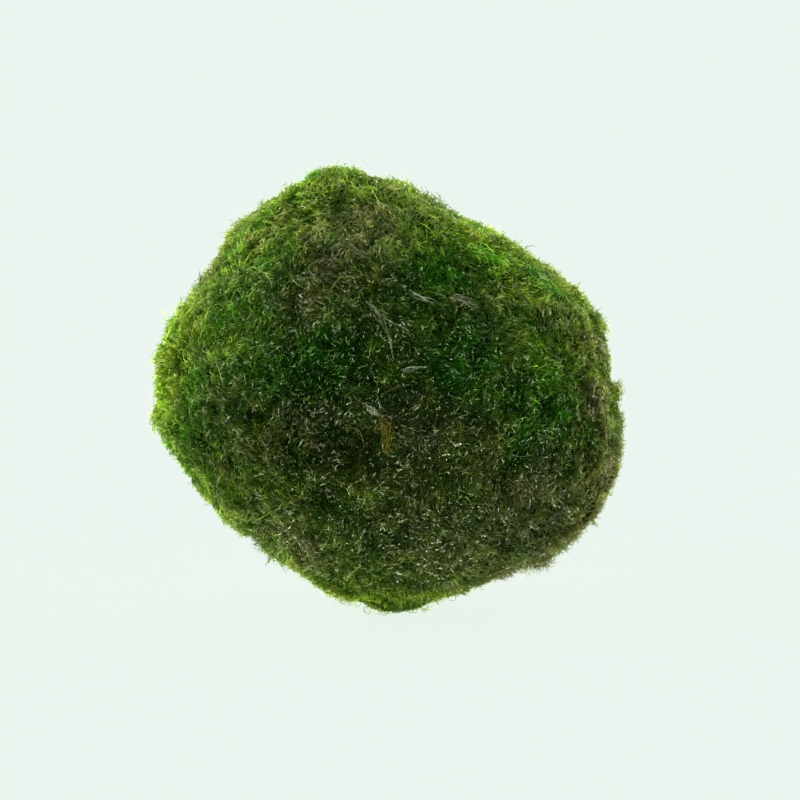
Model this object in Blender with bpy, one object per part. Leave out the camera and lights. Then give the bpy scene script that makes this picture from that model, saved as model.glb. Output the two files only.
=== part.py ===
"""A marimo moss ball: one lumpy, felted ball of green algae resting on a small flat spot.

Metres, +Z up. The origin is the centre of the flat spot that the ball rests on. The ball is seen along
+Y, with +X to the right. The solid is the dense mat; only the loose filament tips stand out of it.
"""

from math import cos, exp, radians, sin

import bmesh
import bpy
from mathutils import Vector, noise

# Driving dimensions
MEAN_RADIUS = 0.0204  # of the mat, before the swells
CENTRE = Vector((0.0, 0.0, 0.0217))  # the swells are measured from here
SPHERE_DIVISIONS = 5  # 5120 triangles, about 1.6 mm along an edge

# The mat grew unevenly. Each swell is a direction from the centre (turn about +Z from +X, and rise above
# the horizontal, in degrees), its height above the mean radius, and how many degrees it spreads over.
# A negative height is a flattened or hollow place.
SWELLS = {
    "right_bulge": (0, -25, 0.0032, 20),
    "right_shoulder": (0, 20, 0.0012, 12),
    "long_upper_slope": (0, 62, -0.0020, 26),
    "peak": (180, 76, 0.0029, 14),
    "left_brow": (180, 48, 0.0010, 13),
    "left_bulge": (180, 2, 0.0024, 17),
    "lower_left_slope": (180, -60, -0.0019, 20),
    "lower_right_slope": (0, -66, -0.0015, 14),
    "foot": (0, -90, 0.0030, 16),
    "front_cheek": (288, 12, 0.0010, 26),
    "front_brow": (245, 42, 0.0007, 20),
    "front_dimple": (263, -14, -0.0010, 9),
    "front_chin": (292, -42, 0.0006, 18),
    "back_shoulder": (58, 22, 0.0013, 24),
    "back_crown": (100, 58, -0.0008, 20),
    "back_heel": (122, -28, 0.0011, 24),
    "back_hollow": (75, -12, -0.0009, 14),
}

# Small lumps all over, where tufts of filaments bunch together
LUMP_HEIGHT = 0.00028
LUMP_WIDTH = 0.0052

MOSS_GREEN = (0.045, 0.085, 0.016, 1.0)
MOSS_ROUGHNESS = 0.85


def direction(turn, rise):
    """The unit vector at a turn about +Z from +X and a rise above the horizontal, in degrees."""
    level = cos(radians(rise))
    return Vector((level * cos(radians(turn)), level * sin(radians(turn)), sin(radians(rise))))


def swell_height(outward):
    """How far all the swells together lift the mat in one direction."""
    height = 0.0
    for turn, rise, top, spread in SWELLS.values():
        nearness = outward.dot(direction(turn, rise)) - 1.0
        height += top * exp(nearness / radians(spread) ** 2)
    return height


def mat_radius(outward):
    """Distance from the centre to the mat's surface in one direction."""
    radius = MEAN_RADIUS + swell_height(outward)
    lump = noise.noise(outward * (radius / LUMP_WIDTH))
    return radius + LUMP_HEIGHT * lump


def cut_flat_spot(ball):
    """Cuts the ball off level at z = 0 and closes the cut with one flat face."""
    everything = ball.verts[:] + ball.edges[:] + ball.faces[:]
    cut = bmesh.ops.bisect_plane(
        ball, geom=everything, plane_co=(0, 0, 0), plane_no=(0, 0, -1), clear_outer=True
    )
    rim = [piece for piece in cut["geom_cut"] if isinstance(piece, bmesh.types.BMEdge)]
    bmesh.ops.contextual_create(ball, geom=rim)


def moss_material():
    material = bpy.data.materials.new("moss")
    material.use_nodes = True
    shader = material.node_tree.nodes["Principled BSDF"]
    shader.inputs["Base Color"].default_value = MOSS_GREEN
    shader.inputs["Roughness"].default_value = MOSS_ROUGHNESS
    shader.inputs["Metallic"].default_value = 0.0
    material.diffuse_color = MOSS_GREEN
    return material


def make_moss_ball():
    """The whole colony: a sphere pushed out to the mat's uneven surface, with its resting spot cut flat."""
    ball = bmesh.new()
    bmesh.ops.create_icosphere(ball, subdivisions=SPHERE_DIVISIONS, radius=1.0)
    for vertex in ball.verts:
        outward = vertex.co.normalized()
        vertex.co = CENTRE + outward * mat_radius(outward)
    cut_flat_spot(ball)
    bmesh.ops.recalc_face_normals(ball, faces=ball.faces[:])
    mesh = bpy.data.meshes.new("moss_ball")
    ball.to_mesh(mesh)
    ball.free()
    mesh.shade_smooth()
    mesh.set_sharp_from_angle(angle=radians(40))
    mesh.materials.append(moss_material())
    moss_ball = bpy.data.objects.new("moss_ball", mesh)
    bpy.context.scene.collection.objects.link(moss_ball)


def main():
    for old in list(bpy.data.objects):
        bpy.data.objects.remove(old)
    make_moss_ball()


main()
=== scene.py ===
"""Looks of the marimo moss ball: dark felt with a deep pile of fine, wet green filaments.

Metres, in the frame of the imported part: +Z up, and the photograph looks along +Y with +X to the right.
The part's solid is the dense mat. The long filaments are rooted in the felt that covers it, and the
short ones start among them. They stand about 1 mm out of it, bunched into tufts that lean their own way.
Loose threads and old strands lie along the top of the pile.
"""

from math import cos, pi, radians, sin

import bmesh
import bpy
import numpy as np
from mathutils import Matrix, Vector, kdtree, noise
from mathutils.bvhtree import BVHTree


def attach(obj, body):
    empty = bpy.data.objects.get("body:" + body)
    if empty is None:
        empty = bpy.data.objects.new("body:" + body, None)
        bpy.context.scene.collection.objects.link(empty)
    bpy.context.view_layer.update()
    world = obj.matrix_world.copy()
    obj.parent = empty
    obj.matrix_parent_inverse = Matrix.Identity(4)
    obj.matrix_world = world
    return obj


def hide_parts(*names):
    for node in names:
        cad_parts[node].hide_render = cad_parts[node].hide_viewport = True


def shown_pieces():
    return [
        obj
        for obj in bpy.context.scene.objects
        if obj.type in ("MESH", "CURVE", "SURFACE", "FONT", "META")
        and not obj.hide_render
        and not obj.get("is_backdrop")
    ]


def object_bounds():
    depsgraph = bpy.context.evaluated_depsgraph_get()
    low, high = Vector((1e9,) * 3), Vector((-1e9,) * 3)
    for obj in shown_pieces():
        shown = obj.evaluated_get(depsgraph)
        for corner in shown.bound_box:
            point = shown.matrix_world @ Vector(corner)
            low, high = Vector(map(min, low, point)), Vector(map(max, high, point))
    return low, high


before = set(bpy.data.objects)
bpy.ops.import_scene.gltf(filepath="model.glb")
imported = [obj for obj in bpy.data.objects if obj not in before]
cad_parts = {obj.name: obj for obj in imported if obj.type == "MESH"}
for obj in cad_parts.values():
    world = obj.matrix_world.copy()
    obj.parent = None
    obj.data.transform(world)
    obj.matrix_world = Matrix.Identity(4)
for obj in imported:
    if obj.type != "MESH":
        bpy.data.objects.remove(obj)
cad_box = [list(corner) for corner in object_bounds()]

BODY = "root"
NODE = "moss_ball"
SEED = 41
MM = 0.001

# The felt that the filaments stand in
CENTRE = np.array((0.0, 0.0, 21.7 * MM))  # directions on the ball are taken from here
FELT_HEIGHT = 0.1 * MM  # above the solid's surface
FELT_CUTS = 1  # times that each triangle of the solid is cut in four
FELT_SMOOTHING = 0.5
ROOT_DEPTH = 0.05 * MM  # of the deepest roots, under the felt's surface
FELT_CLEARANCE = 0.1 * MM  # over what the ball rests on

# Its lumps: the height, the width and the place in the noise of each kind
RELIEF = ((0.26 * MM, 2.8 * MM, 7.0), (0.16 * MM, 1.2 * MM, 17.0))

# Clumps: each leans its own way and stands highest at its leading edge, over the next one
CLUMP_COUNT = 1000
CLUMP_WIDTH = 2.4 * MM
CLUMP_OWN_WAY = 0.8  # how much its own way counts against the combing
CLUMP_SLOPE = 0.52  # how much higher it stands one clump's width ahead
CLUMP_HEIGHT_SPREAD = 0.10
CLUMP_PAINTED_LIGHT = 2.2  # painted light: how much lighter its leading edge, which stands highest, is made, and how much darker its trailing edge under the next clump

# Tufts: filaments that bunch together at their tips
TUFT_COUNT = 7500
TUFT_LEAN = (0, 38)  # degrees from the surface's normal
TUFT_OWN_WAY = 0.5  # how much its own way counts against its clump's
TUFT_PULL = (0.05, 0.5)  # how far the tips are drawn to its middle
COMB_WIDTH = 5.5 * MM  # over which the filaments change the way they are combed
PILE_HEIGHT = 0.98 * MM  # above the solid, where the filaments bend over and mat together
PILE_HEIGHT_SPREAD = 0.6  # how much lower than that some of them do so
LOWERED_BIAS = 1.5  # over 1, because few of them bend over that low
PILE_LOWEST = 0.1  # share of its height
MATTING = 0.12 * MM  # how sharply they bend over
MEAN_RADIUS = 22 * MM  # of the ball

# How its height varies: by what share, over what width and the place in the noise
PILE_LUMPS = ((0.16, 3.5 * MM, 3.0), (0.28, 1.3 * MM, 17.0), (0.28, 0.55 * MM, 31.0))
PILE_TEETH = ((0.5, 0.4 * MM, 71.0),)  # for single filaments, which makes the outline's small teeth

# The pile is pressed flat where the ball rests
UNDERSIDE = np.array((0.0, 0.0, 0.0))
UNDERSIDE_WIDTH = 6.5 * MM
UNDERSIDE_PRESS = 0.8
UNDERSIDE_DEPTH = 0.6 * MM  # how much further in the felt is there

# The photograph's view
PHOTO_PIXELS = 800
PIXEL = 0.1 * MM
BALL_MIDDLE_PX = (389.5, 387.0)
CAMERA_RISE = 5  # degrees
LENS = 120.0
SENSOR = 36.0
CLIP = (0.01, 20)  # the nearest and farthest that the camera sees

# Studio
BACKGROUND = (0.831, 0.913, 0.863)  # linear
ROOM_LIGHT = 0.20  # the surroundings' light on the ball, as a share of their brightness in the picture
FLOOR_RADIUS = 6.0
FLOOR_SIDES = 96
FLOOR_SHADE_SHARE = 0.25  # how much of the floor reflects light: the rest of it glows, as bright as the room
FLOOR_GLOW = (1 - FLOOR_SHADE_SHARE * ROOM_LIGHT) / (1 - FLOOR_SHADE_SHARE)


def random_source(name):
    """A seeded source of random numbers of its own for each thing that is made."""
    return np.random.default_rng([SEED, *name.encode()])


# ------------------------ vectors and fields


def unit(vectors):
    return vectors / np.maximum(np.linalg.norm(vectors, axis=-1, keepdims=True), 1e-12)


def along_surface(vectors, normals):
    """The part of each vector that lies in the surface."""
    return vectors - (vectors * normals).sum(-1, keepdims=True) * normals


def noise_at(points, width, place):
    """Smooth noise, about -1 to 1, whose lumps are this wide. place moves to another part of the noise."""
    shift = Vector((place, place, place))
    return np.array([noise.noise(Vector(p) + shift) for p in points / width])


def noises_at(points, noises):
    """Several noises together: how strong and how wide each is, and its place in the noise."""
    return sum(strength * noise_at(points, width, place) for strength, width, place in noises)


DRIFT_PLACES = (3.3, 17.6, 41.8)  # the noise of each axis is taken from its own place


def drift_at(points, width):
    """A smoothly changing direction field. Vector noise isn't used, because its offsets follow the clock."""
    return np.stack([noise_at(points, width, place) for place in DRIFT_PLACES], axis=1)


def direction(turn, rise):
    """Unit vector at a turn about +Z from +X and a rise above the horizontal, in degrees."""
    level = cos(radians(rise))
    return np.array((level * cos(radians(turn)), level * sin(radians(turn)), sin(radians(rise))))


def nearness(points, place, width):
    """1 at a place, falling off smoothly over that width."""
    away = np.linalg.norm(points - place, axis=1)
    return np.exp(-0.5 * (away / width) ** 2)


# ------------------------ the photograph's view

VIEW_BACK = Vector(direction(270, CAMERA_RISE))
VIEW_UP = Vector(direction(90, 90 - CAMERA_RISE))
VIEW_RIGHT = Vector((1, 0, 0))
TIP_HEIGHT = 1.2 * MM  # how far the filaments stand above the solid, for the middle of the picture
VIEW_DISTANCE = PHOTO_PIXELS * PIXEL * LENS / SENSOR
BALL_MIDDLE = Vector((0, 0, (cad_box[1][2] + TIP_HEIGHT) / 2))


def on_picture(x, y):
    """Where a pixel of the photograph lies in the upright plane through the ball's middle."""
    right = (x - BALL_MIDDLE_PX[0]) * PIXEL
    down = (y - BALL_MIDDLE_PX[1]) * PIXEL
    return BALL_MIDDLE + VIEW_RIGHT * right - VIEW_UP * down


VIEW_AIM = on_picture(PHOTO_PIXELS / 2, PHOTO_PIXELS / 2)
EYE = VIEW_AIM + VIEW_BACK * VIEW_DISTANCE


# ------------------------ the mat's surface


def mat_mesh():
    """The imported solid's surface with its corners joined."""
    mat = bmesh.new()
    mat.from_mesh(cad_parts[NODE].data)
    bmesh.ops.remove_doubles(mat, verts=mat.verts[:], dist=1e-6)
    bmesh.ops.recalc_face_normals(mat, faces=mat.faces[:])
    bmesh.ops.triangulate(mat, faces=mat.faces[:])
    mat.normal_update()
    return mat


class MatSurface:
    """Points and smooth normals anywhere on the mat."""

    def __init__(self):
        mat = mat_mesh()
        self.tree = BVHTree.FromBMesh(mat)
        self.corners = np.array([v.co[:] for v in mat.verts])
        self.normals = np.array([v.normal[:] for v in mat.verts])
        self.faces = np.array([[v.index for v in f.verts] for f in mat.faces])
        mat.free()
        a, b, c = (self.corners[self.faces[:, i]] for i in range(3))
        self.areas = np.linalg.norm(np.cross(b - a, c - a), axis=1) / 2

    def spread(self, count, random):
        """Evenly spread points, with their normals."""
        steps = (np.arange(count) + random.random(count)) / count
        share = np.cumsum(self.areas) / self.areas.sum()
        face = self.faces[np.minimum(np.searchsorted(share, steps), len(self.faces) - 1)]
        u, v = random.random(count), random.random(count)
        folded = u + v > 1
        u[folded], v[folded] = 1 - u[folded], 1 - v[folded]
        weights = np.stack([1 - u - v, u, v], 1)[:, :, None]
        points = (self.corners[face] * weights).sum(1)
        normals = unit((self.normals[face] * weights).sum(1))
        return points, normals

    def nearest(self, point):
        found, normal, _, _ = self.tree.find_nearest(point)
        return found, normal

    def seen_at(self, pixel):
        """The point that shows at a pixel of the photograph, or at the outline nearest to it."""
        target = on_picture(*pixel)
        found, _, _, _ = self.tree.ray_cast(EYE, target - EYE)
        if found is None:
            found, _ = self.nearest(target)
        return np.array(found)


surface = MatSurface()

# Hollows where the pile is parted down to the felt: pixel, width and depth
PITS = {
    "beside_the_ochre_strand": ((370, 440), 1.0 * MM, 1.4 * MM),
    "low_left_of_the_ochre_strand": ((355, 462), 0.6 * MM, 0.7 * MM),
    "lower_left": ((331, 506), 0.7 * MM, 0.7 * MM),
    "left": ((262, 418), 0.8 * MM, 0.4 * MM),
    "under_the_brow": ((214, 262), 0.9 * MM, 0.4 * MM),
}
PIT_PARTING = 0.8  # how much shorter the filaments are in their middle
PIT_PAINTED_SHADE = 0.7  # painted shade: how much darker the felt is made in the hollows

# Notches in the outline: pixel, width in pixels and depth
NOTCHES = {
    "under_the_upper_left_tuft": ((212, 249), 10, 1.0 * MM),
    "left_of_the_foot": ((358, 606), 14, 0.75 * MM),
    "right_of_the_foot": ((436, 604), 20, 0.5 * MM),
}


def bareness_at(points):
    """1 in the middle of a hollow, where no filament is rooted."""
    hollows = [nearness(points, surface.seen_at(pixel), width) for pixel, width, _ in PITS.values()]
    return np.max(hollows, axis=0)


def nearness_in_picture(points, pixel, width):
    """The same as nearness, but seen from the front, at any depth."""
    away = points - np.array(on_picture(*pixel))
    away -= (away @ np.array(VIEW_BACK))[:, None] * np.array(VIEW_BACK)
    return np.exp(-0.5 * ((away**2).sum(1) / width**2))


def relief_at(points):
    """How far the felt rises or sinks from its mean depth."""
    height = noises_at(points, RELIEF)
    for pixel, width, depth in PITS.values():
        height -= depth * nearness(points, surface.seen_at(pixel), width)
    for pixel, width, depth in NOTCHES.values():
        height -= depth * nearness_in_picture(points, pixel, width * PIXEL)
    return height - UNDERSIDE_DEPTH * nearness(points, UNDERSIDE, UNDERSIDE_WIDTH)


# Where the pile stands taller or shorter: pixel, width in pixels and change of its height
PILE_CHANGES = {
    "left_high_hollow": ((184, 295), 8, -0.8),
    "over_left_high_hollow": ((200, 273), 11, -0.75),
    "under_upper_left_tuft": ((208, 258), 10, -0.75),
    "upper_left_undercut": ((217, 243), 7, -1.3),
    "upper_left_tuft": ((222, 226), 5, 1.4),
    "above_upper_left_tuft": ((241, 214), 9, 1.35),
    "left_of_the_top": ((267, 195), 8, -0.65),
    "left_shoulder": ((282, 186), 11, -0.95),
    "over_the_left_shoulder": ((301, 178), 8, -0.9),
    "left_slope_of_the_top": ((321, 169), 9, -0.5),
    "top": ((350, 166), 7, 0.4),
    "right_of_the_top": ((367, 172), 9, -0.9),
    "first_step_from_the_top": ((388, 177), 11, -0.65),
    "second_step_from_the_top": ((417, 189), 8, 0.1),
    "before_the_third_step": ((442, 201), 8, -0.4),
    "third_step_from_the_top": ((461, 213), 10, -0.5),
    "upper_slope": ((512, 238), 12, -0.4),
    "upper_right": ((537, 260), 11, -0.45),
    "above_the_right_shoulder": ((563, 280), 10, -0.4),
    "before_the_right_shoulder": ((597, 314), 8, -0.3),
    "right_shoulder": ((598, 333), 5, 0.05),
    "under_right_shoulder": ((605, 354), 11, -0.5),
    "right_hollow": ((609, 378), 6, -0.8),
    "right_tuft": ((616, 390), 5, 0.7),
    "under_right_tuft": ((614, 405), 7, -0.55),
    "right_low_hollow": ((618, 436), 5, -0.2),
    "under_right_low_hollow": ((616, 456), 8, -0.4),
    "right_low_tuft": ((613, 468), 9, 0.05),
    "lower_right": ((600, 497), 16, -0.3),
    "lower_right_hollow": ((574, 528), 7, -0.15),
    "lower_right_tuft": ((563, 553), 9, -0.25),
    "lower_right_step": ((538, 556), 8, 0.65),
    "low_slope": ((485, 587), 14, -0.35),
    "bottom": ((378, 608), 18, -0.8),
    "right_of_the_bottom": ((436, 602), 16, -0.45),
    "left_of_the_bottom": ((293, 573), 10, -0.45),
    "over_the_bottom_left": ((318, 590), 8, -0.3),
    "lower_left_step": ((240, 528), 6, 0.3),
    "under_lower_left": ((254, 541), 8, -0.95),
    "lower_left_tuft": ((202, 492), 4, 0.35),
    "lower_left": ((186, 474), 18, -0.55),
    "lower_left_hollow": ((212, 505), 8, -0.5),
    "left_low_tuft": ((153, 419), 9, 1.25),
    "left": ((151, 392), 10, -0.5),
    "left_hollow": ((153, 364), 8, -0.45),
    "left_high_tuft": ((165, 323), 9, 1.05),
    "left_highest_tuft": ((177, 305), 6, 0.25),
}


def pile_height_at(points):
    """How high the pile stands, as a share of its mean height."""
    height = 1 + noises_at(points, PILE_LUMPS)
    for pixel, width, change in PILE_CHANGES.values():
        height += change * nearness_in_picture(points, pixel, width * PIXEL)
    for pixel, width, _ in PITS.values():
        height -= PIT_PARTING * nearness(points, surface.seen_at(pixel), width)
    height = np.maximum(height, PILE_LOWEST)
    return height * (1 - UNDERSIDE_PRESS * nearness(points, UNDERSIDE, UNDERSIDE_WIDTH))


# ------------------------ tufts


class Nearest:
    """Finds the nearest of many points."""

    def __init__(self, points):
        self.tree = kdtree.KDTree(len(points))
        for index, point in enumerate(points):
            self.tree.insert(point, index)
        self.tree.balance()

    def find(self, points):
        return np.array([self.tree.find(point)[1] for point in points])


class Tufts:
    """Where the filaments bunch together, and how each bunch leans."""

    def __init__(self):
        random = random_source("tufts")
        self.points, self.normals = surface.spread(TUFT_COUNT, random)
        clumps, clump_normals = surface.spread(CLUMP_COUNT, random)
        comb = along_surface(drift_at(clumps, COMB_WIDTH), clump_normals)
        own = along_surface(random.normal(size=clumps.shape), clump_normals)
        clump_way = unit(unit(comb) + CLUMP_OWN_WAY * unit(own))
        clump = Nearest(clumps).find(self.points)
        self.ahead = ((self.points - clumps[clump]) * clump_way[clump]).sum(1) / CLUMP_WIDTH
        own = along_surface(random.normal(size=self.points.shape), self.normals)
        self.lean_way = unit(clump_way[clump] + TUFT_OWN_WAY * unit(own))
        self.lean = np.radians(random.uniform(*TUFT_LEAN, TUFT_COUNT))
        self.pull = random.uniform(*TUFT_PULL, TUFT_COUNT)
        self.height = pile_height_at(self.points) * (1 + CLUMP_SLOPE * self.ahead)
        self.height *= 1 + CLUMP_HEIGHT_SPREAD * random.normal(size=CLUMP_COUNT)[clump]
        # each tuft's tone differs at random, plus painted light: lighter at its clump's leading edge, darker
        # at its trailing edge
        self.tone_and_painted_light = random.normal(size=TUFT_COUNT) + CLUMP_PAINTED_LIGHT * self.ahead
        self.nearest = Nearest(self.points).find

    def axis_way(self):
        """The direction of each bunch's middle."""
        return self.normals * np.cos(self.lean)[:, None] + self.lean_way * np.sin(self.lean)[:, None]


tufts = Tufts()


# ------------------------ tints

# pixel, width in pixels; how much more olive, fresher, greyer and lighter. Where a patch on the rim is made
# lighter, that lightness is painted light, like the lamps shining through the rim
PATCHES = {
    "brown_upper_left": ((328, 270), 36, 0.4, -0.4, 0.25, 0.05),
    "brown_left_edge": ((305, 312), 22, 0.2, -0.3, 0.0, -0.35),
    "brown_top": ((372, 225), 22, 0.5, -0.3, 0.2, 0.0),
    "brown_centre": ((404, 436), 24, 0.3, -0.2, 0.1, -0.1),
    "dark_centre": ((372, 378), 30, -0.35, -0.2, -0.05, -0.2),
    "brown_lower_middle": ((440, 490), 55, 0.4, -0.25, 0.15, 0.0),
    "brown_lower_right": ((545, 510), 45, 0.45, -0.3, 0.15, -0.1),
    "brown_right": ((592, 400), 22, 0.4, -0.15, 0.2, 0.0),
    "brown_lower_left": ((314, 415), 24, 0.4, -0.2, 0.05, -0.65),
    "olive_island": ((462, 306), 10, 0.7, 0.0, 0.1, 0.1),
    "olive_right_island": ((505, 362), 12, 0.5, 0.0, 0.1, 0.1),
    "olive_right_rim": ((622, 420), 34, 0.6, 0.1, 0.15, 0.0),
    "olive_lower_right_rim": ((600, 480), 26, 0.6, 0.0, 0.3, 0.0),
    "grey_lower_right_rim": ((574, 528), 18, 0.7, -0.3, 0.35, -0.2),
    "brown_lower_right_rim": ((528, 558), 22, 0.7, -0.4, 0.25, -0.4),
    "olive_bottom_right_rim": ((500, 570), 26, 0.6, 0.0, 0.2, 0.0),
    "olive_upper_right_rim": ((560, 285), 20, 0.6, 0.1, 0.1, 0.0),
    "olive_upper_slope": ((505, 234), 22, 0.6, 0.4, 0.0, 0.4),
    "olive_top": ((420, 190), 30, 0.4, 0.2, 0.1, 0.0),
    "olive_upper_left": ((215, 290), 26, 0.1, 0.2, 0.0, 0.0),
    "grey_left": ((228, 245), 12, 0.3, -0.2, 0.5, 0.2),
    "grey_right_shoulder": ((592, 345), 14, 0.3, -0.2, 0.5, 0.0),
    "grey_lower_left": ((300, 535), 28, 0.5, 0.0, 0.3, 0.3),
    "grey_low_middle": ((462, 552), 24, 0.3, 0.0, 0.2, 0.3),
    "green_upper_right": ((436, 277), 20, -1.4, -0.3, -0.4, -0.1),
    "green_upper_right_edge": ((480, 260), 18, -0.6, 0.1, -0.3, 0.1),
    "green_centre_right": ((460, 362), 22, -1.4, -0.3, -0.3, -0.1),
    "green_right": ((530, 388), 30, -1.0, 0.0, -0.3, 0.0),
    "green_right_low": ((513, 432), 14, -0.4, 0.0, -0.2, 0.0),
    "green_middle": ((320, 362), 19, -1.5, -0.4, -0.4, -0.35),
    "green_left_middle": ((262, 375), 12, -0.8, 0.0, -0.2, -0.2),
    "green_upper_left": ((272, 262), 14, -0.1, -0.1, 0.0, 0.0),
    "dark_left": ((240, 405), 18, 0.0, -0.3, 0.0, -0.45),
    "dark_left_low": ((203, 440), 20, 0.0, -0.2, -0.15, -0.35),
    "dim_left": ((226, 412), 20, 0.0, -0.1, -0.1, -0.3),
    "dim_lower_left": ((252, 476), 32, 0.0, -0.1, -0.1, -0.28),
    "dark_lower_left": ((278, 448), 20, 0.1, -0.2, 0.0, -0.3),
    "dark_middle": ((355, 445), 20, 0.35, -0.2, 0.0, 0.1),
    "dark_left_of_the_middle": ((316, 458), 22, 0.35, -0.2, -0.1, -0.35),
    "dark_lower_middle": ((318, 500), 12, 0.1, -0.2, 0.0, -0.2),
    "dark_right": ((556, 322), 20, 0.0, -0.2, 0.0, -0.5),
    "dark_right_low": ((558, 458), 18, 0.0, -0.1, -0.15, -0.25),
    "fresh_left": ((172, 390), 34, -0.1, 0.7, 0.0, 0.2),
    "painted_light_left_rim": ((154, 370), 24, 0.1, 0.3, 0.0, 0.95),
    "painted_light_left_high_rim": ((176, 312), 20, 0.0, 0.3, 0.0, 0.4),
    "fresh_left_streak": ((258, 428), 8, -0.2, 0.5, 0.0, 0.2),
    "fresh_upper_left": ((250, 222), 28, 0.05, 0.2, 0.25, 0.4),
    "fresh_left_low": ((205, 480), 26, -0.1, 0.5, 0.0, -0.15),
    "painted_light_lower_left_rim": ((198, 502), 18, 0.0, 0.4, -0.1, 0.15),
    "painted_light_lower_left_slope": ((243, 540), 16, 0.1, 0.4, 0.0, 0.3),
    "painted_light_upper_left_rim": ((245, 208), 22, 0.3, 0.2, 0.2, 0.5),
    "olive_upper_left_inside": ((266, 245), 22, 0.3, 0.0, 0.1, 0.1),
    "yellow_bottom_rim": ((445, 592), 24, 0.4, 0.3, 0.0, 0.0),
    "fresh_top": ((325, 190), 35, -0.2, 0.4, 0.0, 0.1),
    "fresh_upper_right": ((556, 272), 26, 0.2, 0.5, 0.05, 0.45),
    "fresh_bottom": ((300, 572), 24, -0.1, 0.4, 0.0, 0.1),
    "fresh_foot": ((400, 600), 26, -0.1, 0.4, 0.0, 0.1),
}

# Each tint's mean and its noises: how strong, how wide and where in the noise
TINTS = {
    "olive": (0.42, ((0.35, 7.5 * MM, 11.0), (0.4, 2.2 * MM, 5.0))),
    "fresh": (0.22, ((0.4, 6.0 * MM, 23.0), (0.4, 1.9 * MM, 31.0))),
    "grey": (0.05, ((0.3, 3.5 * MM, 43.0),)),
    # light: a tone that differs at random, to which the tufts, the rim patches and the hollows add painted
    # light and shade
    "light": (0.5, ((0.45, 1.7 * MM, 61.0),)),
}
TINT_SPREAD = {"olive": 0.15, "fresh": 0.14, "grey": 0.12}  # from one filament to the next
TUFT_TONE_AND_PAINTED_LIGHT = {"olive": 0.14, "light": 0.16}  # how much of its tuft's random tone and painted light (lighter at a clump's leading edge) a filament takes on


def tints_at(points, random, tuft):
    """How olive, fresh, grey and light each filament is, and its own chance."""
    tints = {name: mean + noises_at(points, noises) for name, (mean, noises) in TINTS.items()}
    for pixel, width, *changes in PATCHES.values():
        near = nearness(points, surface.seen_at(pixel), width * PIXEL)
        for name, change in zip(TINTS, changes):
            tints[name] += change * near
    for name, spread in TINT_SPREAD.items():
        tints[name] += spread * random.normal(size=len(points))
    for name, share in TUFT_TONE_AND_PAINTED_LIGHT.items():
        tints[name] += share * tufts.tone_and_painted_light[tuft]
    tints = {name: np.clip(values, 0, 1) for name, values in tints.items()}
    tints["chance"] = random.random(len(points))
    return tints


# ------------------------ strands


class Strands:
    """Many centrelines of the same number of stations, and what their looks depend on."""

    def __init__(self, line, along, thickness, tuft, tints):
        self.line = line  # (strand, station, xyz)
        self.along = along  # (strand, station): 0 at a filament's root, 1 at its tip
        self.thickness = thickness  # (strand)
        self.tuft = tuft  # (strand)
        self.tints = tints  # name: (strand)

    def chosen(self, which):
        tints = {name: values[which] for name, values in self.tints.items()}
        return Strands(self.line[which], self.along[which], self.thickness[which], self.tuft[which], tints)


class Coat:
    """One kind of filament in the pile."""

    def __init__(self, count, root, length, thickness, lean, bend, wander, top, held, stations):
        self.count = count
        self.root = root  # mm above the felt
        self.length = length  # mm
        self.thickness = thickness  # mm
        self.lean = lean  # degrees from the surface's normal
        self.bend = bend  # degrees that the tip turns further over, at the most
        self.wander = wander  # how much its own way counts against the combing
        self.top = top  # how high it may stand, as a share of the pile's height
        self.held = held  # how much it follows the pull of its tuft
        self.stations = stations  # shares of its length


COATS = {
    "bristles": Coat(
        count=136000, root=(0.1, 0.7), length=(0.5, 1.2), thickness=(0.08, 0.11), lean=(5, 62), bend=0,
        wander=0.8, top=1.0, held=1.0, stations=(0, 1),
    ),
    "filaments": Coat(
        count=9000, root=(0, 0.2), length=(1.1, 1.9), thickness=(0.08, 0.11), lean=(0, 45), bend=100,
        wander=1.2, top=1.1, held=1.0, stations=(0, 0.65, 1),
    ),
    "wisps": Coat(
        count=1100, root=(0, 0.2), length=(1.6, 2.3), thickness=(0.07, 0.10), lean=(0, 35), bend=80,
        wander=1.5, top=1.3, held=0.7, stations=(0, 0.4, 0.75, 1),
    ),
    # the wet curls are pale: their colour is painted highlight, and their gloss gives real glints on top
    "wet_curls": Coat(
        count=31500, root=(0.6, 0.95), length=(0.3, 0.8), thickness=(0.055, 0.085), lean=(20, 75), bend=160,
        wander=2.5, top=1.15, held=0.2, stations=(0, 0.5, 1),
    ),
}
WET_COAT = "wet_curls"
SECTORS = ("back_right", "back_left", "front_left", "front_right")  # quarter turns from +X
TAPER = 0.3  # how much thinner a strand is before its last, pointed stretch
BEND_BIAS = 1.5  # over 1, because few filaments bend as far as they may
HELD_BIAS = 1.5  # over 1, because a filament is drawn to its tuft mostly near its tip
TWIST = 0.9  # how far its tip may turn aside

# Fresh filaments are longer, thicker and straighter, and lean more alike, as grass does
FRESH_COMBED = 0.75
FRESH_UPRIGHT = 0.5
FRESH_LONGER = 0.35
FRESH_THICKER = 0.45
FRESH_DRY = 0.7  # the share of the wet curls that is missing where all is fresh


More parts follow.
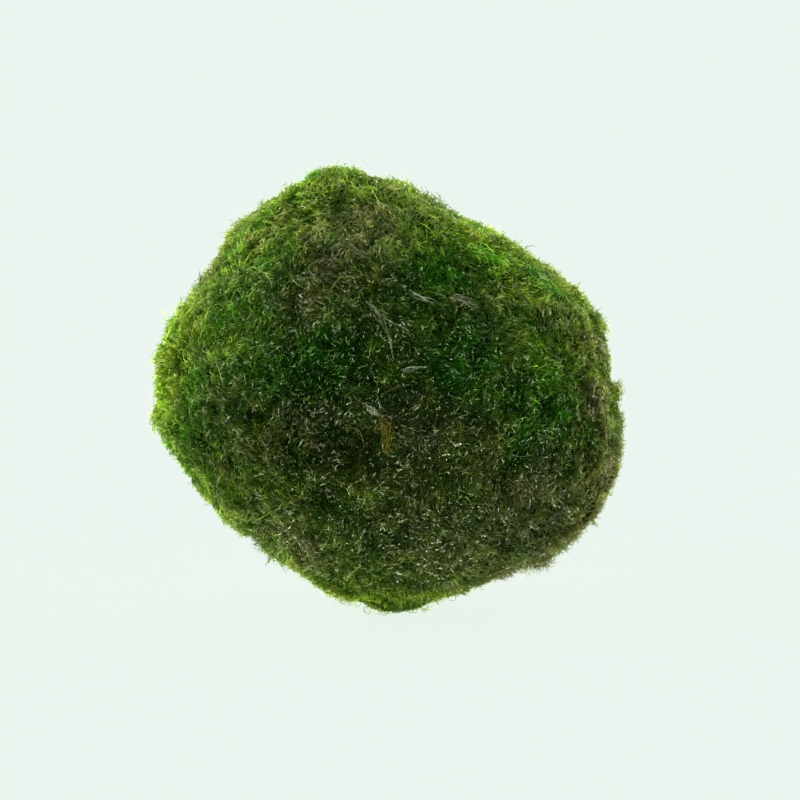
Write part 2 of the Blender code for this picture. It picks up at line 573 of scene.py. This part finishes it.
def grow(coat, random):
    """The coat's filaments, from their roots to their tips."""
    roots, normals = surface.spread(coat.count, random)
    depth = relief_at(roots) + FELT_HEIGHT
    tuft = tufts.nearest(roots)
    depth += random.uniform(*coat.root, coat.count) * MM * tufts.height[tuft]
    tints = tints_at(roots, random, tuft)
    fresh = tints["fresh"]
    own = unit(along_surface(random.normal(size=roots.shape), normals))
    wander = coat.wander * (1 - FRESH_COMBED * fresh)
    way = unit(along_surface(tufts.lean_way[tuft], normals) + wander[:, None] * own)
    lean = np.radians(random.uniform(*coat.lean, coat.count)) * (1 - FRESH_UPRIGHT * fresh)
    bend = np.radians(coat.bend * random.random(coat.count) ** BEND_BIAS) * (1 - FRESH_COMBED * fresh)
    length = random.uniform(*coat.length, coat.count) * MM * tufts.height[tuft]
    length *= 1 + FRESH_LONGER * fresh
    twist = random.uniform(-TWIST, TWIST, coat.count)
    sideways = np.cross(normals, way)
    line = [roots + normals * depth[:, None]]
    for start, end in zip(coat.stations, coat.stations[1:]):
        share = (start + end) / 2
        angle = lean + bend * share**2
        turned = unit(way + sideways * (twist * share)[:, None])
        heading = normals * np.cos(angle)[:, None] + turned * np.sin(angle)[:, None]
        line.append(line[-1] + heading * (length * (end - start))[:, None])
    line = np.stack(line, 1)
    axis = tufts.axis_way()[tuft]
    for station, share in enumerate(coat.stations):
        middle = tufts.points[tuft] + axis * (length * share + depth)[:, None]
        held = coat.held * tufts.pull[tuft] * share**HELD_BIAS
        line[:, station] += (middle - line[:, station]) * held[:, None]
    line = settle(line, tuft, coat.top, random)
    thickness = random.uniform(*coat.thickness, coat.count) * MM * (1 + FRESH_THICKER * fresh)
    along = np.tile(coat.stations, (coat.count, 1))
    return Strands(line, along, thickness, tuft, tints)


def settle(line, tuft, top, random):
    """Bends the strands over where they reach the top of the pile, so that they mat together there."""
    normals = tufts.normals[tuft][:, None]
    away = line - tufts.points[tuft][:, None]
    rise = (away * normals).sum(-1, keepdims=True)
    aside = np.linalg.norm(away - rise * normals, axis=-1, keepdims=True)
    height = rise + aside**2 / (2 * MEAN_RADIUS)
    lowered = PILE_HEIGHT_SPREAD * random.random(len(line)) ** LOWERED_BIAS
    limit = PILE_HEIGHT * tufts.height[tuft] * top * (1 - lowered)
    limit = (limit * (1 + noises_at(line[:, 0], PILE_TEETH)))[:, None, None]
    matted = limit - MATTING * np.log1p(np.exp((limit - height) / MATTING))
    return line + (matted - height) * normals


class Threads:
    """Loose threads that lie along the top of the pile."""

    def __init__(self, count, length, thickness, height, curl, steps):
        self.count = count
        self.length = length  # mm
        self.thickness = thickness  # mm
        self.height = height  # mm above the solid
        self.curl = curl  # degrees that they turn in each mm
        self.steps = steps


THREADS = {
    "long_threads": Threads(
        count=1350, length=(1.2, 3.4), thickness=(0.06, 0.09), height=(0.3, 0.95), curl=(0, 30), steps=5
    ),
    "curls": Threads(
        count=500, length=(0.6, 1.3), thickness=(0.06, 0.09), height=(0.5, 1.05), curl=(90, 300), steps=7
    ),
}
THREAD_COMBED = 1.5  # how much they follow the combing of the filaments around them
THREAD_WAVE = (0.12 * MM, 1.3)  # height, and how many radians on the next station is
THREAD_DIP = 0.5 * MM  # of its ends into the pile
THREAD_CURL_SPREAD = (0.6, 1.4)  # share of its curl at each station
LYING_ALONG = (0.7, 1.0)  # threads and old strands are shaded like the outer part of a filament


def lay(threads, random):
    """Threads that wander over the mat, rising out of the pile and dipping back into it."""
    roots, _ = surface.spread(threads.count, random)
    lines = []
    for root in roots:
        length = random.uniform(*threads.length) * MM
        step = length / threads.steps
        sign = random.choice((-1, 1))
        curl = radians(random.uniform(*threads.curl)) * sign * step / MM
        height = random.uniform(*threads.height) * MM * pile_height_at(root[None])[0]
        phase = random.uniform(0, pi)
        point, normal = surface.nearest(Vector(root))
        combed = tufts.lean_way[tufts.nearest(root[None])[0]]
        way = Vector(random.normal(size=3) + THREAD_COMBED * random.choice((-1, 1)) * combed)
        stations = []
        for index in range(threads.steps + 1):
            wave = THREAD_WAVE[0] * sin(phase + THREAD_WAVE[1] * index)
            dip = THREAD_DIP * (2 * index / threads.steps - 1) ** 4
            stations.append(point + normal * (height + wave - dip))
            way = (way - normal * way.dot(normal)).normalized()
            way = Matrix.Rotation(curl * random.uniform(*THREAD_CURL_SPREAD), 3, normal) @ way
            point, normal = surface.nearest(point + way * step)
        lines.append(stations)
    line = np.array(lines)
    along = np.tile(np.linspace(*LYING_ALONG, threads.steps + 1), (threads.count, 1))
    thickness = random.uniform(*threads.thickness, threads.count) * MM
    tuft = tufts.nearest(roots)
    return Strands(line, along, thickness, tuft, tints_at(roots, random, tuft))


BUNDLE_LIGHT = 0.8


class Bundle:
    """Old strands that lie on the pile where the photograph shows them."""

    def __init__(self, pixels, count, spread, olive, grey):
        self.pixels = pixels  # along its middle
        self.count = count
        self.spread = spread  # mm to each side, where it is widest
        self.tints = {"olive": olive, "fresh": 0.0, "grey": grey, "light": BUNDLE_LIGHT}


RING_PIXELS = ((384, 284), (388, 279), (393, 282), (393, 286), (388, 288), (384, 284))
BUNDLES = {
    "pale_bundle": Bundle(((366, 301), (376, 311), (387, 327)), 5, 0.16, 0.2, 0.6),
    "pale_bundle_side": Bundle(((371, 308), (383, 321), (388, 333)), 3, 0.2, 0.2, 0.6),
    "pale_wisp": Bundle(((386, 326), (391, 339), (393, 357)), 6, 0.14, 0.4, 0.3),
    "pale_branch": Bundle(((380, 313), (394, 322), (413, 334)), 4, 0.15, 0.1, 0.6),
    "lying_threads": Bundle(((408, 293), (421, 298), (437, 304)), 5, 0.14, 0.0, 0.9),
    "lower_lying_threads": Bundle(((402, 371), (417, 368), (434, 367)), 4, 0.13, 0.0, 0.7),
    "slanting_thread": Bundle(((375, 402), (384, 392), (397, 386), (411, 383)), 2, 0.08, 0.0, 0.1),
    "flat_patch": Bundle(((345, 249), (358, 254), (372, 259)), 8, 0.4, 0.3, 0.35),
    "ring": Bundle(RING_PIXELS, 1, 0.0, 0.0, 0.9),
    "hook": Bundle(((430, 286), (437, 290), (441, 300)), 1, 0.0, 0.0, 0.9),
    "thin_line": Bundle(((370, 204), (384, 210), (396, 220)), 1, 0.0, 0.0, 0.5),
    "upper_line": Bundle(((384, 264), (400, 265), (416, 266)), 1, 0.0, 0.0, 0.6),
    "low_line": Bundle(((422, 437), (444, 433), (468, 431)), 1, 0.0, 0.0, 0.4),
    "right_threads": Bundle(((449, 300), (461, 302), (474, 306)), 9, 0.35, 0.0, 0.6),
    "left_dash": Bundle(((247, 372), (249, 386)), 2, 0.05, 0.0, 0.9),
    "fork": Bundle(((352, 427), (361, 431), (365, 447)), 1, 0.0, 0.0, 0.5),
    "ochre_strand": Bundle(((380, 414), (388, 426), (389, 441), (386, 457)), 20, 0.28, 1.0, 0.0),
    "ochre_strand_head": Bundle(((363, 404), (374, 410), (385, 420)), 8, 0.2, 0.3, 0.75),
}
BUNDLE_STATIONS = 7
BUNDLE_HEIGHT = (0.6, 0.95)  # mm above the solid
BUNDLE_THICKNESS = (0.06, 0.10)  # mm
BUNDLE_START = (0, 0.25)  # share of the way along it where a strand starts
BUNDLE_END = (0.8, 1.0)
BUNDLE_OPENING = (0.15, 0.8)  # how open it is: at its start, and how fast it opens and closes again
BUNDLE_WANDER = 0.5  # how much its strands cross, as a share of its spread
BUNDLE_TINT_SPREAD = 0.05


def lay_bundle(bundle, random):
    """Its strands spread most in the middle, and some are shorter than others."""
    corners = np.array([surface.seen_at(pixel) for pixel in bundle.pixels])
    steps = np.linalg.norm(np.diff(corners, axis=0), axis=1)
    reached = np.concatenate([[0], np.cumsum(steps)]) / steps.sum()
    lines = []
    for _ in range(bundle.count):
        start = random.uniform(*BUNDLE_START) if bundle.count > 1 else 0
        end = random.uniform(*BUNDLE_END) if bundle.count > 1 else 1
        shares = np.linspace(start, end, BUNDLE_STATIONS)
        points = np.stack([np.interp(shares, reached, corners[:, axis]) for axis in range(3)], 1)
        aside = random.normal(size=3) * bundle.spread * MM
        wander = random.normal(size=3) * bundle.spread * MM * BUNDLE_WANDER
        height = random.uniform(*BUNDLE_HEIGHT) * MM
        stations = []
        for share, point in zip(shares, points):
            opening = sin(pi * (BUNDLE_OPENING[0] + BUNDLE_OPENING[1] * share))
            placed = point + aside * opening + wander * sin(2 * pi * share)
            _, normal = surface.nearest(Vector(placed))
            shift = normal * height
            shift -= VIEW_BACK * shift.dot(VIEW_BACK)
            on_mat, normal = surface.nearest(Vector(placed) - shift)
            stations.append(on_mat + normal * height)
        lines.append(stations)
    line = np.array(lines)
    along = np.tile(np.linspace(*LYING_ALONG, BUNDLE_STATIONS), (bundle.count, 1))
    thickness = random.uniform(*BUNDLE_THICKNESS, bundle.count) * MM
    tints = {
        name: np.clip(value + BUNDLE_TINT_SPREAD * random.normal(size=bundle.count), 0, 1)
        for name, value in bundle.tints.items()
    }
    tints["chance"] = random.random(bundle.count)
    return Strands(line, along, thickness, tufts.nearest(line[:, 0]), tints)


def joined(parts):
    """Several lots of strands as one."""
    return Strands(
        np.concatenate([part.line for part in parts]),
        np.concatenate([part.along for part in parts]),
        np.concatenate([part.thickness for part in parts]),
        np.concatenate([part.tuft for part in parts]),
        {name: np.concatenate([part.tints[name] for part in parts]) for name in parts[0].tints},
    )


# ------------------------ meshes

MAP_MARGIN = 0.06  # round each strand's square of the bake map, as a share of it


def strand_faces(ring_count):
    """The triangles of one strand: an end cap, the sides and the pointed tip."""
    faces = [(2, 1, 0)]
    for ring in range(ring_count - 1):
        for corner in range(3):
            a = 3 * ring + corner
            b = 3 * ring + (corner + 1) % 3
            faces += [(a, b, b + 3), (a, b + 3, a + 3)]
    tip = 3 * ring_count
    for corner in range(3):
        faces.append((tip - 3 + corner, tip - 3 + (corner + 1) % 3, tip))
    return np.array(faces)


def strand_map(ring_count):
    """Where the corners of those triangles lie in the strand's own square of the bake map."""
    rise = 1 / ring_count
    squares = [((0, 0), (1 / 3, 0), (0, rise / 3))]
    for ring in range(ring_count - 1):
        low, high = ring * rise, (ring + 1) * rise
        for corner in range(3):
            left, right = corner / 3, (corner + 1) / 3
            squares.append(((left, low), (right, low), (right, high)))
            squares.append(((left, low), (right, high), (left, high)))
    for corner in range(3):
        left, right = corner / 3, (corner + 1) / 3
        squares.append(((left, 1 - rise), (right, 1 - rise), ((left + right) / 2, 1)))
    return np.array(squares)


def strand_mesh(name, strands, random):
    """Closed three-sided tubes, shaded round, each with its own square of the bake map."""
    line = strands.line
    count, stations, _ = line.shape
    ring_count = stations - 1
    heading = unit(np.gradient(line, axis=1))
    aside = unit(np.cross(heading, random.normal(size=(count, 1, 3))))
    across = np.cross(heading, aside)
    turns = 2 * pi * np.arange(3) / 3
    around = aside[:, :-1, None] * np.cos(turns)[:, None] + across[:, :-1, None] * np.sin(turns)[:, None]
    taper = 1 - TAPER * np.linspace(0, 1, ring_count) ** 2
    radius = strands.thickness[:, None] / 2 * taper
    rings = line[:, :-1, None] + around * radius[:, :, None, None]
    points = np.concatenate([rings.reshape(count, -1, 3), line[:, -1:]], 1)
    points[:, :, 2] = np.maximum(points[:, :, 2], 0.0)

    one = strand_faces(ring_count)
    corners = points.shape[1]
    faces = one + corners * np.arange(count)[:, None, None]
    outward = np.concatenate([around.reshape(count, -1, 3), heading[:, -1:]], 1)
    normals = outward[:, one]
    normals[:, 0] = -heading[:, :1]
    normals[:, -3:, 2] = unit(normals[:, -3:, 0] + normals[:, -3:, 1])

    columns = int(np.ceil(np.sqrt(count)))
    cell = np.stack([np.arange(count) % columns, np.arange(count) // columns], 1)
    inside = MAP_MARGIN + (1 - 2 * MAP_MARGIN) * strand_map(ring_count)
    bake_map = (cell[:, None, None] + inside) / columns

    along_rings = np.repeat(strands.along[:, :-1], 3, 1)
    attributes = {"along": np.concatenate([along_rings, strands.along[:, -1:]], 1)}
    for tint, values in strands.tints.items():
        attributes[tint] = np.repeat(values, corners)
    thing = new_mesh_object(name, points.reshape(-1, 3), faces.reshape(-1, 3), attributes)
    layer = thing.data.attributes.new("custom_normal", "FLOAT_VECTOR", "CORNER")
    layer.data.foreach_set("vector", normals.astype(np.float32).ravel())
    layer = thing.data.uv_layers.new(name="OFBake")
    layer.uv.foreach_set("vector", bake_map.astype(np.float32).ravel())
    return thing


def new_mesh_object(name, points, faces, attributes):
    """A smooth-shaded object of triangles, with one number for each point under each attribute's name."""
    mesh = bpy.data.meshes.new(name)
    mesh.vertices.add(len(points))
    mesh.vertices.foreach_set("co", points.astype(np.float32).ravel())
    mesh.loops.add(faces.size)
    mesh.loops.foreach_set("vertex_index", faces.astype(np.int32).ravel())
    mesh.polygons.add(len(faces))
    mesh.polygons.foreach_set("loop_start", np.arange(0, faces.size, 3, dtype=np.int32))
    mesh.update(calc_edges=True)
    mesh.shade_smooth()
    for attribute, values in attributes.items():
        layer = mesh.attributes.new(attribute, "FLOAT", "POINT")
        layer.data.foreach_set("value", np.asarray(values, np.float32).ravel())
    thing = bpy.data.objects.new(name, mesh)
    bpy.context.scene.collection.objects.link(thing)
    return thing


def finish_piece(piece, material):
    piece.data.materials.append(material)
    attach(piece, BODY)


def add_quarters(name, strands, material, random):
    """The strands as four pieces, one for each quarter turn, so that each piece stays light."""
    turn = np.degrees(np.arctan2(strands.line[:, 0, 1], strands.line[:, 0, 0])) % 360
    for quarter, sector in enumerate(SECTORS):
        which = (turn // 90).astype(int) == quarter
        finish_piece(strand_mesh(f"{name}_{sector}", strands.chosen(which), random), material)


def add_pile(material, wet):
    for name, coat in COATS.items():
        random = random_source(name)
        strands = grow(coat, random)
        strands = strands.chosen(random.random(coat.count) > bareness_at(strands.line[:, 0]))
        if name == WET_COAT:
            strands = strands.chosen(random.random(len(strands.line)) > FRESH_DRY * strands.tints["fresh"])
        add_quarters(name, strands, wet if name == WET_COAT else material, random)


def add_threads(material):
    for name, threads in THREADS.items():
        random = random_source(name)
        finish_piece(strand_mesh(name, lay(threads, random), random), material)


def add_bundles(material):
    random = random_source("old_strands")
    strands = joined([lay_bundle(bundle, random) for bundle in BUNDLES.values()])
    finish_piece(strand_mesh("old_strands", strands, random), material)


# ------------------------ the felt


def add_felt(material):
    """The dark felt between the filaments: the solid's surface, a little lower and lumpy."""
    mat = mat_mesh()
    for _ in range(FELT_CUTS):
        bmesh.ops.subdivide_edges(mat, edges=mat.edges[:], cuts=1, use_grid_fill=True)
        bmesh.ops.smooth_vert(
            mat, verts=mat.verts[:], factor=FELT_SMOOTHING, use_axis_x=True, use_axis_y=True, use_axis_z=True
        )
    bmesh.ops.triangulate(mat, faces=mat.faces[:])
    mat.normal_update()
    points = np.array([v.co[:] for v in mat.verts])
    normals = np.array([v.normal[:] for v in mat.verts])
    points = points + normals * (relief_at(points) + FELT_HEIGHT + ROOT_DEPTH)[:, None]
    points[:, 2] = np.maximum(points[:, 2], FELT_CLEARANCE)
    faces = np.array([[v.index for v in f.verts] for f in mat.faces])
    mat.free()
    tints = tints_at(points, random_source("felt"), tufts.nearest(points))
    # painted shade: the felt is made darker in the hollows
    tints["light"] *= 1 - PIT_PAINTED_SHADE * bareness_at(points)
    felt = new_mesh_object("felt", points, faces, tints)
    finish_piece(felt, material)
    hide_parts(NODE)


# ------------------------ materials


class Nodes:
    """Builds a material's nodes in few words."""

    def __init__(self, name):
        self.material = bpy.data.materials.new(name)
        self.material.use_nodes = True
        self.tree = self.material.node_tree
        self.tree.nodes.clear()

    def add(self, kind, settings=None, **inputs):
        made = self.tree.nodes.new(kind)
        for key, value in (settings or {}).items():
            setattr(made, key, value)
        for key, value in inputs.items():
            self.feed(made.inputs[key.replace("_", " ")], value)
        return made

    def feed(self, socket, value):
        if isinstance(value, bpy.types.NodeSocket):
            self.tree.links.new(value, socket)
        else:
            socket.default_value = value

    def attribute(self, name):
        return self.add("ShaderNodeAttribute", {"attribute_name": name}).outputs["Fac"]

    def noise(self, width, detail=2.0):
        place = self.add("ShaderNodeTexCoord").outputs["Object"]
        texture = self.add("ShaderNodeTexNoise", Vector=place, Scale=1 / width, Detail=detail)
        return texture.outputs["Fac"]

    def calculate(self, operation, first, second=0.0):
        made = self.add("ShaderNodeMath", {"operation": operation})
        self.feed(made.inputs[0], first)
        self.feed(made.inputs[1], second)
        return made.outputs[0]

    def span(self, value, low, high):
        """0 to 1 made into low to high."""
        ranged = self.add("ShaderNodeMapRange", Value=value)
        ranged.inputs["To Min"].default_value = low
        ranged.inputs["To Max"].default_value = high
        return ranged.outputs["Result"]

    def mix(self, share, first, second, blend="MIX"):
        mixed = self.add("ShaderNodeMix", {"data_type": "RGBA", "blend_type": blend})
        self.feed(mixed.inputs["Factor"], share)
        self.feed(mixed.inputs[6], first)
        self.feed(mixed.inputs[7], second)
        return mixed.outputs[2]

    def grey(self, value):
        made = self.add("ShaderNodeCombineColor")
        for channel in ("Red", "Green", "Blue"):
            self.feed(made.inputs[channel], value)
        return made.outputs["Color"]

    def times(self, colour, value):
        return self.mix(1.0, colour, self.grey(value), "MULTIPLY")

    def shaded(self, colour, shades):
        """A colour made darker or lighter by each of a filament's own numbers."""
        for name, (darkest, lightest) in shades.items():
            colour = self.times(colour, self.span(self.attribute(name), darkest, lightest))
        return colour

    def tinted(self, deep, olive, fresh, grey):
        """The colour that a filament's own tints mix from four."""
        colour = self.mix(self.attribute("olive"), deep, olive)
        colour = self.mix(self.attribute("fresh"), colour, fresh)
        return self.mix(self.attribute("grey"), colour, grey)


FILAMENT_BODY = {
    "deep": (0.005, 0.030, 0.001, 1),
    "olive": (0.040, 0.042, 0.012, 1),
    "fresh": (0.08, 0.16, 0.004, 1),
    "grey": (0.09, 0.10, 0.060, 1),
}
FILAMENT_GLOW = {
    "deep": (0.23, 0.74, 0.05, 1),
    "olive": (0.60, 0.69, 0.20, 1),
    "fresh": (0.66, 0.92, 0.11, 1),
    "grey": (0.62, 0.64, 0.38, 1),
}

# How dark and how light each of a filament's own numbers makes it
BODY_SHADES = {"chance": (0.4, 1.8), "light": (0.4, 1.6), "along": (0.35, 1.25)}
GLOW_SHADES = {"along": (0.5, 1.0), "light": (0.7, 1.15), "chance": (0.75, 1.1)}
MOTTLE_WIDTH = 0.35 * MM
MOTTLE = (0.7, 1.3)
WET_WIDTH = 0.6 * MM  # over which the roughness changes
FILM_TINT = (0.82, 1.0, 0.62, 1)

FELT_DARK = ((0.003, 0.028, 0.0004, 1), (0.010, 0.018, 0.0012, 1))
FELT_THREAD = {
    "deep": (0.010, 0.055, 0.002, 1),
    "olive": (0.040, 0.055, 0.010, 1),
    "fresh": (0.05, 0.13, 0.003, 1),
    "grey": (0.06, 0.07, 0.03, 1),
}
FELT_THREAD_WIDTHS = (0.45 * MM, 0.36 * MM, 0.6 * MM)
FELT_THREAD_SHARE = 0.05
FELT_MOTTLE_WIDTH = 0.3 * MM
FELT_MOTTLE = (0.4, 1.6)
FELT_THREAD_MOTTLE_WIDTH = 0.5 * MM
FELT_THREAD_MOTTLE = (0.2, 1.6)
FELT_SHADES = {"light": (0.25, 1.5)}
FELT_ROUGHNESS_WIDTH = 0.4 * MM
FELT_ROUGHNESS = (0.7, 0.95)

TIP_GLOW = (0.82, 0.88, 0.30, 1)
TIP_SHARE = (-0.8, 0.8)  # of that colour at the root and at the tip
TIP_SHARE_OF_OLD = 0.35  # how much of that the filaments have that aren't fresh

# The wet curls: their pale colours are painted highlight, standing in for glints on their wet tips; their
# gloss under the glint lamps adds real glints on top
WET_PAINTED_HIGHLIGHT_BODY = {
    "deep": (0.048, 0.19, 0.026, 1),
    "olive": (0.24, 0.25, 0.12, 1),
    "fresh": (0.24, 0.34, 0.06, 1),
    "grey": (0.31, 0.33, 0.23, 1),
}

# Old strands: straw-coloured, ochre where they are "olive", and whitish where they are "grey"
OLD_BODY = {
    "deep": (0.060, 0.064, 0.022, 1),
    "olive": (0.058, 0.052, 0.0006, 1),
    "fresh": (0.24, 0.34, 0.07, 1),
    "grey": (0.15, 0.18, 0.11, 1),
}


def filament_material(name, body, glow_share, roughness, specular):
    """glow_share: how much of a filament's look is light that comes through it."""
    nodes = Nodes(name)
    colour = nodes.tinted(**body)
    colour = nodes.shaded(colour, BODY_SHADES)
    colour = nodes.times(colour, nodes.span(nodes.noise(MOTTLE_WIDTH), *MOTTLE))
    wet = nodes.add(
        "ShaderNodeBsdfPrincipled",
        Base_Color=colour,
        Roughness=nodes.span(nodes.noise(WET_WIDTH), *roughness),
        IOR=1.5,
        Specular_IOR_Level=specular,
        Specular_Tint=FILM_TINT,
    )
    glow = nodes.tinted(**FILAMENT_GLOW)
    pale = nodes.span(nodes.attribute("along"), *TIP_SHARE)
    pale = nodes.calculate("MULTIPLY", pale, nodes.span(nodes.attribute("fresh"), TIP_SHARE_OF_OLD, 1.0))
    glow = nodes.mix(pale, glow, TIP_GLOW)
    glow = nodes.shaded(glow, GLOW_SHADES)
    behind = nodes.add("ShaderNodeBsdfTranslucent", Color=glow)
    mixed = nodes.add("ShaderNodeMixShader")
    nodes.feed(mixed.inputs[0], glow_share)
    nodes.feed(mixed.inputs[1], wet.outputs[0])
    nodes.feed(mixed.inputs[2], behind.outputs[0])
    nodes.add("ShaderNodeOutputMaterial", Surface=mixed.outputs[0])
    return nodes.material


def felt_material():
    """Dark felt with fine curved threads, which are drawn along the level lines of three noises."""
    nodes = Nodes("dark_felt")
    colour = nodes.mix(nodes.attribute("olive"), *FELT_DARK)
    colour = nodes.times(colour, nodes.span(nodes.noise(FELT_MOTTLE_WIDTH, detail=4.0), *FELT_MOTTLE))
    pale = nodes.tinted(**FELT_THREAD)
    threads = 0.0
    for width in FELT_THREAD_WIDTHS:
        level = nodes.calculate("SUBTRACT", nodes.noise(width, detail=1.0), 0.5)
        line = nodes.add("ShaderNodeMapRange", Value=nodes.calculate("ABSOLUTE", level))
        line.inputs["From Max"].default_value = FELT_THREAD_SHARE
        line.inputs["To Min"].default_value = 1.0
        line.inputs["To Max"].default_value = 0.0
        threads = nodes.calculate("MAXIMUM", threads, line.outputs[0])
    mottle = nodes.span(nodes.noise(FELT_THREAD_MOTTLE_WIDTH), *FELT_THREAD_MOTTLE)
    colour = nodes.mix(threads, colour, nodes.times(pale, mottle))
    colour = nodes.shaded(colour, FELT_SHADES)
    bump = nodes.add("ShaderNodeBump", Strength=0.8, Distance=0.1 * MM, Height=threads)
    shader = nodes.add(
        "ShaderNodeBsdfPrincipled",
        Base_Color=colour,
        Roughness=nodes.span(nodes.noise(FELT_ROUGHNESS_WIDTH), *FELT_ROUGHNESS),
        Specular_IOR_Level=0.0,
        Normal=bump.outputs[0],
    )
    nodes.add("ShaderNodeOutputMaterial", Surface=shader.outputs[0])
    return nodes.material


# ------------------------ studio


def add_floor():
    bpy.ops.mesh.primitive_circle_add(vertices=FLOOR_SIDES, radius=FLOOR_RADIUS, fill_type="NGON")
    floor = bpy.context.object
    floor.name = "floor"
    nodes = Nodes("pale_floor")
    level = nodes.add("ShaderNodeBsdfDiffuse", Color=(1, 1, 1, 1))
    glow = nodes.add("ShaderNodeEmission", Color=(*BACKGROUND, 1), Strength=FLOOR_GLOW)
    mixed = nodes.add("ShaderNodeMixShader")
    nodes.feed(mixed.inputs[0], FLOOR_SHADE_SHARE)
    nodes.feed(mixed.inputs[1], glow.outputs[0])
    nodes.feed(mixed.inputs[2], level.outputs[0])
    nodes.add("ShaderNodeOutputMaterial", Surface=mixed.outputs[0])
    floor.data.materials.append(nodes.material)
    floor.visible_glossy = False
    floor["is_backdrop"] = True


def add_world():
    """A pale room all round. It isn't mirrored in the wet filaments: only the lamps are."""
    world = bpy.data.worlds.new("studio")
    world.use_nodes = True
    backdrop = world.node_tree.nodes["Background"]
    backdrop.inputs["Color"].default_value = (*BACKGROUND, 1)
    to_camera = world.node_tree.nodes.new("ShaderNodeLightPath").outputs["Is Camera Ray"]
    strength = world.node_tree.nodes.new("ShaderNodeMapRange")
    strength.inputs["To Min"].default_value = ROOM_LIGHT
    world.node_tree.links.new(to_camera, strength.inputs["Value"])
    world.node_tree.links.new(strength.outputs[0], backdrop.inputs["Strength"])
    bpy.context.scene.world = world
    world.cycles_visibility.glossy = False


lit_things = bpy.data.collections.new("lit_things")  # the lamps are kept off the floor
LAMP_DISTANCE = 0.42
WHITE = (1, 1, 1)
LIGHT_TINT = (1.09, 0.95, 1.05)
LAMPS = {  # turn, rise, size, power and tint
    "front_lamp": (262, 10, 0.12, 1.1, WHITE),
    "back_left_lamp": (128, 15, 0.18, 9.0, LIGHT_TINT),
    "back_right_lamp": (52, 15, 0.18, 7.0, LIGHT_TINT),
    "top_back_lamp": (92, 48, 0.18, 4.5, LIGHT_TINT),
    "low_back_lamp": (95, -28, 0.18, 6.8, LIGHT_TINT),
    "left_lamp": (172, 5, 0.25, 5.5, LIGHT_TINT),
    "right_lamp": (12, 5, 0.25, 1.9, LIGHT_TINT),
    "top_lamp": (90, 80, 0.25, 2.0, LIGHT_TINT),
    "low_lamp": (270, -85, 0.25, 3.6, LIGHT_TINT),
}

# The lamps that are mirrored in the wet filaments: turn, rise and power
GLINT_LAMP_SIZE = 0.2
GLINT_LAMPS = (
    (262, 8, 3.6),
    (205, 25, 4.6),
    (318, 25, 5.5),
    (262, 65, 3.6),
    (262, -40, 5.0),
    (182, 0, 4.5),
    (0, 0, 5.0),
    (270, -85, 6.5),
    (82, 20, 2.5),
)


def add_lamp(name, turn, rise, size, power, tint, mirrored=False, lights=True):
    """A soft lamp aimed at the ball. It may light the ball, be mirrored in the wet filaments, or both."""
    light = bpy.data.lights.new(name, "AREA")
    light.shape = "DISK"
    light.size = size
    light.energy = power
    light.color = tint
    lamp = bpy.data.objects.new(name, light)
    away = Vector(direction(turn, rise))
    lamp.location = Vector(CENTRE) + away * LAMP_DISTANCE
    lamp.rotation_euler = away.to_track_quat("Z", "Y").to_euler()
    bpy.context.scene.collection.objects.link(lamp)
    lamp.visible_camera = False
    lamp.visible_glossy = mirrored
    lamp.visible_diffuse = lights
    lamp.visible_transmission = lights
    lamp.light_linking.receiver_collection = lit_things
    lamp.light_linking.blocker_collection = lit_things


def add_camera():
    """The photograph's view: level with the ball, a little above, and framed as the photograph is."""
    data = bpy.data.cameras.new("photo_camera")
    data.lens = LENS
    data.sensor_width = SENSOR
    data.clip_start, data.clip_end = CLIP
    camera = bpy.data.objects.new("photo_camera", data)
    camera.location = EYE
    camera.rotation_euler = VIEW_BACK.to_track_quat("Z", "Y").to_euler()
    bpy.context.scene.collection.objects.link(camera)
    bpy.context.scene.camera = camera


def main():
    bpy.context.scene.view_settings.view_transform = "Standard"
    add_camera()
    add_world()
    add_floor()
    for name, lamp in LAMPS.items():
        add_lamp(name, *lamp)
    for turn, rise, power in GLINT_LAMPS:
        name = f"glint_lamp_{turn}_{rise}"
        add_lamp(name, turn, rise, GLINT_LAMP_SIZE, power, WHITE, mirrored=True, lights=False)
    add_felt(felt_material())
    soft = filament_material("filament", FILAMENT_BODY, glow_share=0.75, roughness=(0.2, 0.4), specular=0.06)
    # the wet curls' material: real gloss, and a pale colour that is painted highlight
    wet = filament_material("wet_filament_painted_highlight", WET_PAINTED_HIGHLIGHT_BODY, glow_share=0.42, roughness=(0.22, 0.42), specular=0.9)
    old = filament_material("old_filament", OLD_BODY, glow_share=0.05, roughness=(0.3, 0.5), specular=0.02)
    add_pile(soft, wet)
    add_threads(soft)
    add_bundles(old)
    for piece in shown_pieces():
        lit_things.objects.link(piece)


main()
